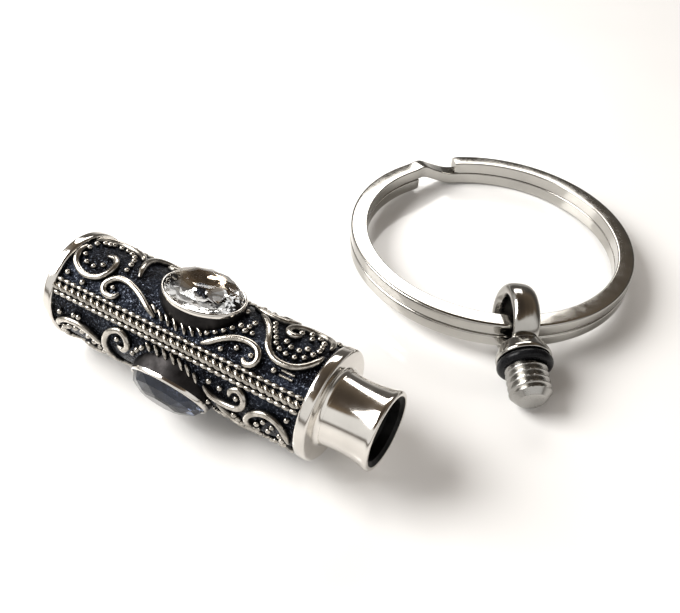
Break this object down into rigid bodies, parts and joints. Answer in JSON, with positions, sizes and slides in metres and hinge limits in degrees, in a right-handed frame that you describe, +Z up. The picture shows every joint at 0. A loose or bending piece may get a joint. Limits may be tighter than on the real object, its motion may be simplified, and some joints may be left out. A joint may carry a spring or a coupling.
{
  "type": "keepsake cryptex capsule",
  "caption": "Small filigree keepsake capsule with stone bezels and a screw neck, lying open beside the key ring that carries its sealed screw plug.",
  "frame": {"origin": "bottom centre of the bounding box, on the surface that the open cryptex lies on", "axes": "+X along the capsule from its base to its mouth, +Y from the capsule towards the key ring, +Z up"},
  "size_m": [0.0436, 0.0524, 0.0126],
  "materials": {
    "bright_silver": "polished, warm silver",
    "wirework_silver": "polished on top, blackened in the hollows",
    "oxidised_ground": "blackened, stippled",
    "clear_stone": "faceted, clear",
    "silver_foil": "mirror foil",
    "polished_steel": "polished",
    "black_rubber": "smooth, slightly glossy"
  },
  "bodies": {
    "capsule": {"base_cap": "bright_silver", "reservoir_tube": "bright_silver", "filigree_sleeve": "oxidised_ground", "shoulder_cap": "bright_silver", "neck_tube": "bright_silver", "bezel_cup_1": "bright_silver", "foil_back_1": "silver_foil", "crystal_1": "clear_stone", "base_c_scroll_1": "wirework_silver", "base_s_scroll_1": "wirework_silver", "base_arc_scroll_1": "wirework_silver", "base_crook_scroll_1": "wirework_silver", "mouth_hook_scroll_1": "wirework_silver", "mouth_s_scroll_1": "wirework_silver", "mouth_crook_scroll_1": "wirework_silver", "mouth_c_scroll_1": "wirework_silver", "ridge_rope_1": "wirework_silver", "ridge_bead_a_1": "wirework_silver", "ridge_bead_b_1": "wirework_silver", "bezel_cup_2": "bright_silver", "foil_back_2": "silver_foil", "crystal_2": "clear_stone", "base_c_scroll_2": "wirework_silver", "base_s_scroll_2": "wirework_silver", "base_arc_scroll_2": "wirework_silver", "base_crook_scroll_2": "wirework_silver", "mouth_hook_scroll_2": "wirework_silver", "mouth_s_scroll_2": "wirework_silver", "mouth_crook_scroll_2": "wirework_silver", "mouth_c_scroll_2": "wirework_silver", "ridge_rope_2": "wirework_silver", "ridge_bead_a_2": "wirework_silver", "ridge_bead_b_2": "wirework_silver", "bezel_cup_3": "bright_silver", "foil_back_3": "silver_foil", "crystal_3": "clear_stone", "base_c_scroll_3": "wirework_silver", "base_s_scroll_3": "wirework_silver", "base_arc_scroll_3": "wirework_silver", "base_crook_scroll_3": "wirework_silver", "mouth_hook_scroll_3": "wirework_silver", "mouth_s_scroll_3": "wirework_silver", "mouth_crook_scroll_3": "wirework_silver", "mouth_c_scroll_3": "wirework_silver", "ridge_rope_3": "wirework_silver", "ridge_bead_a_3": "wirework_silver", "ridge_bead_b_3": "wirework_silver"},
    "key_ring": {"split_ring": "polished_steel"},
    "plug": {"screw_plug": "polished_steel", "o_ring": "black_rubber"}
  },
  "joints": [
    {"name": "plug_carry", "type": "hinge", "parent": "capsule", "child": "key_ring", "pos_m": [0.00983, -0.01017, 0.00406], "axis": [-0.1775, -0.138, -0.9744], "range_deg": [0, 126.79]},
    {"name": "plug_screw_in", "type": "slide", "parent": "key_ring", "child": "plug", "axis": [0.5486, -0.8194, -0.1661], "range_m": [0, 0.0011]}
  ]
}
